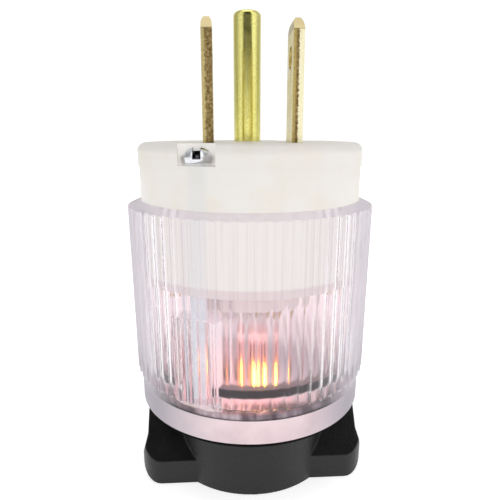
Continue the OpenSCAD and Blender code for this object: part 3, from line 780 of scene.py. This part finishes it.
def pale_fibre():
    """Insulating disc at the bottom of the chamber, with painted lamp light, pink to the left and lilac
    to the right, and painted light and shade along its front.
    """
    finish = Finish("pale_fibre", Roughness=0.7, Emission_Strength=1.0)
    cloud = finish.noise(0.9 * MM, detail=5)
    left = finish.fade(finish.axis("X"), *DISC_LEFT)
    front = finish.fade(finish.axis("Y"), *above(LAMP_MIDDLE.y, DISC_FRONT))
    # painted light: the lamp's glow on the disc, as emission
    near = finish.fade(finish.away(LAMP_MIDDLE), *DISC_GLOW)
    painted_light = finish.times(near, finish.math("SUBTRACT", 1.0, front))
    painted_light_tone = finish.mix(left, (0.27, 0.235, 0.27), (0.50, 0.24, 0.26))
    finish.set("Emission Color", finish.mix(painted_light, BLACK, painted_light_tone))
    face = finish.ramp(cloud, (0.3, (0.52, 0.45, 0.50)), (0.7, (0.64, 0.57, 0.62)))
    finish.set("Base Color", finish.mix(front, face, painted_light_and_shade_edge(finish)))
    finish.bump(cloud, depth=0.03 * MM, strength=0.4)
    return finish.material


def lamp_bulb_glass():
    """Thin glass of the lamp with its glowing gas, hottest beside the line electrode."""
    finish = Finish("lamp_bulb_glass", IOR=1.03, Transmission_Weight=1.0, Emission_Strength=2.0)
    cloud = finish.noise(1.5 * MM)
    finish.set("Base Color", finish.ramp(cloud, (0.3, (1.0, 0.90, 0.88)), (0.7, (1.0, 0.95, 0.94))))
    finish.set("Roughness", finish.between(cloud, 0.3, 0.7, 0.02, 0.08))
    height = finish.axis("Z")
    gas = finish.times(
        finish.between(height, *above(LAMP_LOW.z, GAS_FOOT)),
        finish.fade(height, *above(LAMP_LOW.z, GAS_TOP)))
    hot = finish.times(gas, finish.fade(finish.beside(LAMP_MIDDLE.x + ELECTRODE_OUT), *GAS_SIDE))
    haze = finish.mix(gas, (0.050, 0.018, 0.018), (0.18, 0.054, 0.018))
    finish.set("Emission Color", finish.mix(hot, haze, (1.0, 0.50, 0.06)))
    shadowless(finish, (1.0, 0.95, 0.94))
    return finish.material


def glowing_rod(name, strength, hottest):
    """An electrode: hot in the lower half of the lamp, red above, plain tinned wire outside."""
    finish = Finish(name, Metallic=0.4, Emission_Strength=strength)
    height = finish.axis("Z")
    inside = finish.fade(height, *above(LAMP_HIGH.z, BARE_WIRE))
    hot = finish.times(
        finish.between(height, *above(LAMP_LOW.z, HOT_FOOT)),
        finish.fade(height, *above(LAMP_LOW.z, HOT_TOP)))
    heat = finish.times(hot, finish.between(finish.edge_on(), 0.3, 1.0, 1.0, 0.5))
    glow = finish.ramp(
        heat, (0.0, (0.004, 0.0005, 0.0003)), (0.25, (0.30, 0.03, 0.006)),
        (0.5, (1.0, 0.42, 0.02)), (0.8, hottest))
    finish.set("Emission Color", finish.mix(inside, BLACK, glow))
    finish.set("Base Color", finish.mix(inside, (0.78, 0.74, 0.72), (0.06, 0.02, 0.015)))
    finish.set("Roughness", finish.between(finish.noise(0.9 * MM, detail=2), 0.3, 0.7, 0.3, 0.5))
    return finish.material


def resistor_coat():
    """Tan lacquer of the resistor."""
    finish = Finish("resistor_coat")
    cloud = finish.noise(0.7 * MM, detail=3)
    finish.set("Base Color", finish.ramp(cloud, (0.3, (0.52, 0.40, 0.24)), (0.7, (0.66, 0.53, 0.34))))
    finish.set("Roughness", finish.between(cloud, 0.3, 0.7, 0.3, 0.45))
    return finish.material


# Pieces

def flute_radius(tip, off):
    """Radius of the fluted wall at an angle off a flute's middle, in degrees."""
    middle = tip - FLUTE_DEPTH + FLUTE_R
    turn = math.radians(off)
    inside = FLUTE_R ** 2 - (middle * math.sin(turn)) ** 2
    if inside <= 0:
        return tip
    return min(tip, middle * math.cos(turn) - math.sqrt(inside))


def on_flutes(tip, height, off):
    """A test for the points of one ring that lie at an angle off the middle of a flute."""
    def wanted(place):
        turn = math.degrees(math.atan2(place.y, place.x)) % FLUTE_STEP - FLUTE_STEP / 2
        on_column = abs(abs(turn) - off) < FLUTE_STEP / COLUMNS / 4
        on_ring = abs(place.z - height) < NEAR and abs(math.hypot(place.x, place.y) - tip) < NEAR
        return on_column and on_ring
    return wanted


def turned_wall():
    """The housing's section drawn round ring by ring, and left in edit mode."""
    low, high, foot_z = SHELL_LOW.z, SHELL_HIGH.z, STRIP_LOW.z
    section = [
        (BAND_R, low), (BAND_R, low + FROST_H), (BAND_R, FLUTE_LOW), (FLUTE_FOOT_R, FLUTE_LOW),
        (RIM_R, RIM_Z), (BORE_R, high), (BORE_R, SEAT_Z), (INNER_R, SEAT_Z),
        (INNER_R, foot_z), (FOOT_R, foot_z), (FOOT_R, low), (BAND_R, low)]
    leave_all()
    bpy.ops.mesh.primitive_circle_add(vertices=FLUTES * COLUMNS, radius=BAND_R, location=(0, 0, 0))
    piece = bpy.context.object
    edit(piece)
    bpy.ops.mesh.select_all(action="SELECT")
    bpy.ops.transform.translate(value=(0, 0, low))
    for (radius, height), (next_radius, next_height) in zip(section, section[1:]):
        bpy.ops.mesh.extrude_region_move(TRANSFORM_OT_translate={"value": (0, 0, next_height - height)})
        grow = next_radius / radius
        bpy.ops.transform.resize(value=(grow, grow, 1), center_override=(0, 0, next_height))
    bpy.ops.mesh.select_all(action="SELECT")
    bpy.ops.mesh.remove_doubles(threshold=0.001 * MM)
    return piece


def cut_flutes(piece):
    """Draws the points of the wall in to the flutes, and leaves edit mode."""
    slope = RIM_RISE / (RIM_R - BORE_R)
    for tip, height, rise in ((FLUTE_FOOT_R, FLUTE_LOW, 0.0), (RIM_R, RIM_Z, slope)):
        for column in range(COLUMNS // 2):
            off = column * FLUTE_STEP / COLUMNS
            cut = flute_radius(tip, off) / tip
            pick_points(piece, on_flutes(tip, height, off))
            bpy.ops.transform.resize(value=(cut, cut, 1), center_override=(0, 0, height))
            if rise:
                bpy.ops.transform.translate(value=(0, 0, tip * (1 - cut) * rise))
    bpy.ops.mesh.select_all(action="SELECT")
    bpy.ops.mesh.normals_make_consistent(inside=False)
    bpy.ops.object.mode_set(mode="OBJECT")


def add_bosses(piece):
    """The two screw bosses inside the wall, and the holes through them."""
    bosses = (BOSS_R, SHELL_LOW.z + BOSS_UP, CARRIER_LOW.z - BOSS_GAP, "UNION")
    holes = (HOLE_R, SCREW_LOW.z - HOLE_PAST, SHELL_HIGH.z, "DIFFERENCE")
    for radius, start, end, operation in (bosses, holes):
        for x, y in screw_places():
            leave_all()
            bpy.ops.mesh.primitive_cylinder_add(
                vertices=ROUND_SIDES, radius=radius, depth=end - start,
                location=(x, y, (start + end) / 2))
            combine(piece, bpy.context.object, operation)


def housing(clear, frosted, satin):
    """The clear housing with its frosted band and satin rim."""
    piece = turned_wall()
    cut_flutes(piece)
    add_bosses(piece)
    coat(piece, clear, frosted, satin)
    for face in piece.data.polygons:
        across = math.hypot(face.center.x, face.center.y)
        if face.center.z < SHELL_LOW.z + FROST_H and across > BAND_R - BAND_SKIN:
            face.material_index = 1
        elif face.center.z > RIM_Z - NEAR and face.normal.z > 0.5:
            face.material_index = 2
    smooth(piece, degrees=32)
    settle(piece, "clear_housing", "clear_shell", "housing_shell")


def long_screws(material):
    """The long screws with the back of each recess closed, as a driver's cross leaves it."""
    piece = merged_copy("assembly_screws")
    for x, y in screw_places():
        inward = -math.copysign(1.0, y)
        leave_all()
        bpy.ops.mesh.primitive_cube_add(size=1, location=(0, 0, 0))
        core = bpy.context.object
        edit(core)
        bpy.ops.mesh.select_all(action="SELECT")
        bpy.ops.transform.resize(value=(CORE_W, CORE_L, CORE_H))
        bpy.ops.mesh.bevel(offset=CORE_ROUND, segments=2)
        bpy.ops.mesh.select_all(action="SELECT")
        bpy.ops.transform.translate(value=(x, y + inward * (CORE_IN + CORE_L / 2), SLOT_Z + CORE_UP))
        bpy.ops.object.mode_set(mode="OBJECT")
        combine(piece, core, "UNION")
    coat(piece, material)
    smooth(piece, degrees=30)
    settle(piece, "long_screws", "plated_screw", "assembly_screws")


def soft_moulding(node, name, slot, material, shaded):
    """A clamp half with the small roundings of a moulded piece, shaded under the housing."""
    piece = merged_copy(node)
    apply_modifier(
        piece, "REMESH", mode="SHARP", octree_depth=8, scale=0.97, use_remove_disconnected=False)
    apply_modifier(piece, "SMOOTH", factor=0.5, iterations=4)
    apply_modifier(piece, "DECIMATE", ratio=0.5)
    coat(piece, material, shaded)
    for face in piece.data.polygons:
        face.material_index = int(face.center.z > SHELL_LOW.z - COLLAR_H)
    smooth(piece, degrees=60)
    settle(piece, name, slot, node)


def dress(material, *nodes):
    """Gives nodes that keep their own shape a better finish."""
    for node in nodes:
        NODES[node].material_slots[0].material = material


leave_all()
housing(clear_plastic(), frosted_plastic(), satin_plastic())
charcoal = charcoal_nylon("charcoal_nylon", ior=1.46, rough=(0.30, 0.40))
# painted shade: a copy of the clamp nylon with weaker, rougher reflection for the collar under the
# housing
shaded_copy_charcoal = charcoal_nylon("shaded_copy_charcoal_nylon", ior=1.2, rough=(0.7, 0.9))
soft_moulding("clamp_base", "clamp_end_piece", "black_clamp", charcoal, shaded_copy_charcoal)
soft_moulding("clamp_jaw", "clamp_front_jaw", "black_clamp", charcoal, shaded_copy_charcoal)
dress(cream_nylon("cover_nylon", (0.86, 0.83, 0.795)), "face_cover")
dress(cream_nylon("carrier_nylon", (0.87, 0.84, 0.80)), "terminal_carrier")
dress(sheared_brass(), "line_blade", "neutral_blade")
dress(bright_brass(), "ground_pin")
dress(plated_metal("nickel_plate", (0.52, 0.53, 0.56), (0.70, 0.71, 0.74), rough=(0.06, 0.14)),
      "clamp_screws", "neutral_terminal_screw")
long_screws(long_screw_plate())
dress(plated_metal("screw_brass", (0.58, 0.42, 0.14), (0.80, 0.64, 0.28), rough=(0.2, 0.36)),
      "line_terminal_screw")
dress(plated_metal("green_dip", (0.02, 0.16, 0.06), (0.05, 0.28, 0.12), rough=(0.25, 0.4)),
      "ground_terminal_screw")
dress(plated_metal("plate_brass", (0.55, 0.40, 0.16), (0.74, 0.58, 0.27), rough=(0.26, 0.42)),
      "line_pressure_plate", "neutral_pressure_plate", "ground_pressure_plate")
dress(black_rubber(), "seal_strips")
dress(pale_fibre(), "insulating_disc")
dress(lamp_bulb_glass(), "lamp_glass")
dress(glowing_rod("hot_electrode", strength=12.0, hottest=(1.0, 0.82, 0.10)), "line_electrode")
dress(glowing_rod("dim_electrode", strength=0.6, hottest=(1.0, 0.30, 0.10)), "neutral_electrode")
dress(resistor_coat(), "lamp_resistor")


# Stage, light and viewpoint

def pale_floor():
    """The pale ground that the plug stands on."""
    finish = Finish("pale_floor", Roughness=0.8, Emission_Color=(1, 1, 1, 1), Emission_Strength=0.72)
    cloud = finish.noise(60 * MM)
    finish.set("Base Color", finish.ramp(cloud, (0.3, (0.62, 0.62, 0.62)), (0.7, (0.64, 0.64, 0.64))))
    leave_all()
    bpy.ops.mesh.primitive_plane_add(size=FLOOR_SIZE, location=(0, 0, -FLOOR_DROP))
    floor = bpy.context.object
    floor.name = "floor"
    floor.data.materials.append(finish.material)


def studio_sky():
    """White overhead, bright to both sides of the front, dark in front, and even behind clear plastic."""
    world = bpy.data.worlds.new("studio_sky")
    bpy.context.scene.world = world
    world.use_nodes = True
    sky = NodeWork(world.node_tree, "Generated")
    toward_front = sky.times(sky.axis("Y"), -1.0)
    turn = sky.math("ARCTAN2", sky.size_of(sky.axis("X")), toward_front)
    turn = sky.math("DIVIDE", turn, math.pi)
    round_about = sky.ramp(turn, *[(position, (level,) * 3) for position, level in SKY_ROUND])
    front = sky.between(sky.axis("Z"), 0.0, 0.18, 0.95, 0.02)
    round_about = sky.blend(sky.between(turn, 0.16, 0.25), front, round_about)
    right = sky.between(sky.axis("X"), -0.6, 0.6, 1.05, 1.22)
    overhead = sky.between(sky.axis("Z"), 0.86, 0.96)
    light = sky.blend(overhead, sky.times(round_about, right), SKY_ABOVE)
    path = sky.add("ShaderNodeLightPath")
    through = sky.between(path.outputs["Transmission Depth"], 0.4, 0.6)
    light = sky.blend(through, light, SKY_BEHIND_CLEAR)
    backdrop = world.node_tree.nodes["Background"]
    light = sky.blend(path.outputs["Is Camera Ray"], light, SKY_BACKDROP)
    sky.join(light, backdrop.inputs["Strength"])
    sky.join(sky.mix(through, WHITE, (1.0, 0.96, 0.99)), backdrop.inputs["Color"])


def lamp_light(watts):
    """The pink light that the lamp throws round the chamber."""
    lamp = bpy.data.lights.new("lamp_light", "POINT")
    lamp.energy = watts
    lamp.color = (1.0, 0.46, 0.46)
    lamp.shadow_soft_size = GLOW_R
    holder = add_object("lamp_light", lamp)
    holder.location = (LAMP_MIDDLE.x, LAMP_MIDDLE.y, LAMP_LOW.z + LIGHT_UP)
    holder.visible_glossy = False
    holder.visible_transmission = False


def soft_box(name, place, size, watts):
    """A large soft light that looks at the middle of the plug."""
    lamp = bpy.data.lights.new(name, "AREA")
    lamp.size = size
    lamp.energy = watts
    holder = add_object(name, lamp)
    holder.location = place
    middle = add_object(name + "_aim", None)
    middle.location = (0, 0, AIM_Z)
    aim = holder.constraints.new("TRACK_TO")
    aim.target = middle
    aim.track_axis = "TRACK_NEGATIVE_Z"
    aim.up_axis = "UP_Y"
    return holder


def viewpoint():
    """A camera at the viewpoint of the photograph."""
    camera = bpy.data.cameras.new("camera")
    camera.sensor_width = SENSOR
    camera.lens = FOCAL_PIXELS / PICTURE_PIXELS * SENSOR
    camera.clip_start = CLIP_START
    holder = add_object("camera", camera)
    holder.location = (
        -VIEW_DISTANCE * math.sin(VIEW_TURN), -VIEW_DISTANCE * math.cos(VIEW_TURN),
        COVER_HIGH.z + VIEW_ABOVE_FACE)
    holder.rotation_euler = (math.pi / 2 - VIEW_PITCH, 0, -VIEW_TURN)
    bpy.context.scene.camera = holder


pale_floor()
studio_sky()
soft_box("right_soft_box", place=(0.34, -0.26, 0.30), size=0.30, watts=0.05)
front_fill = soft_box("front_fill", place=(0.0, -0.50, 0.20), size=0.40, watts=0.36)
front_fill.visible_glossy = False
lamp_light(watts=0.0018)
viewpoint()
bpy.context.scene.view_settings.view_transform = "Standard"
